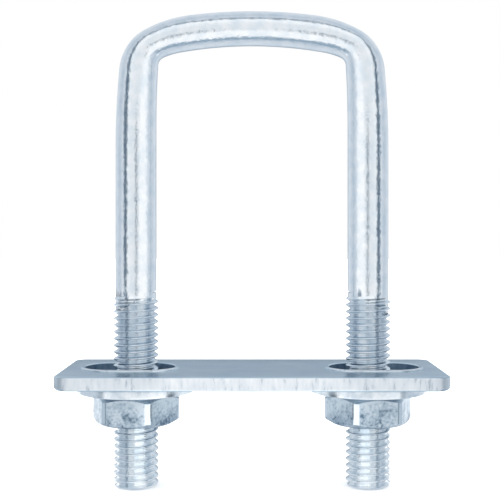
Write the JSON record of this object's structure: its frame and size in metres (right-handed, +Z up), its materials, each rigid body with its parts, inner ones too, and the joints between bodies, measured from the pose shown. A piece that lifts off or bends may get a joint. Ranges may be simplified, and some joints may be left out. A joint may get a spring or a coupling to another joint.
{
  "type": "u-bolt",
  "caption": "Square-bend U-bolt with threaded legs, a slotted clamp plate, flat washers and hexagon nuts, for clamping a square tube or post to a plate.",
  "frame": {"origin": "middle between the two legs, in the plane of the rod ends that it stands on", "axes": "+Z up the legs to the crown, +X from the left leg to the right leg, -Y towards the front"},
  "size_m": [0.084, 0.03, 0.1063],
  "materials": {
    "zinc_plated_bar": "bright zinc plating over drawn steel bar, satin",
    "zinc_plated_plate": "bluish bright zinc plating on stamped flat bar, sheared edges rougher",
    "zinc_plated_washer": "bright zinc plating on a stamped washer",
    "zinc_plated_nut": "bluish bright zinc plating on a forged nut"
  },
  "bodies": {
    "u_bolt": {"u_bolt": "zinc_plated_bar"},
    "clamp_plate": {"clamp_plate": "zinc_plated_plate"},
    "left_washer": {"left_washer": "zinc_plated_washer"},
    "left_nut": {"left_nut": "zinc_plated_nut"},
    "right_washer": {"right_washer": "zinc_plated_washer"},
    "right_nut": {"right_nut": "zinc_plated_nut"}
  },
  "joints": [
    {"name": "plate_slide", "type": "slide", "parent": "u_bolt", "child": "clamp_plate", "axis": [0, 0, 1], "range_m": [0, 0.069]},
    {"name": "left_washer_slide", "type": "slide", "parent": "u_bolt", "child": "left_washer", "axis": [0, 0, -1], "range_m": [0, 0.012]},
    {"name": "left_nut_turn", "type": "hinge", "parent": "left_washer", "child": "left_nut", "pos_m": [-0.02605, 0, 0.0176], "axis": [0, 0, 1], "range_deg": [-2880, 0]},
    {"name": "right_washer_slide", "type": "slide", "parent": "u_bolt", "child": "right_washer", "axis": [0, 0, -1], "range_m": [0, 0.012]},
    {"name": "right_nut_turn", "type": "hinge", "parent": "right_washer", "child": "right_nut", "pos_m": [0.02605, 0, 0.0176], "axis": [0, 0, 1], "range_deg": [-2880, 0]}
  ],
  "couplings": [
    {"joint": "left_washer_slide", "follows": "left_nut_turn", "m_per_rad": -0.00023873},
    {"joint": "right_washer_slide", "follows": "right_nut_turn", "m_per_rad": -0.00023873}
  ]
}
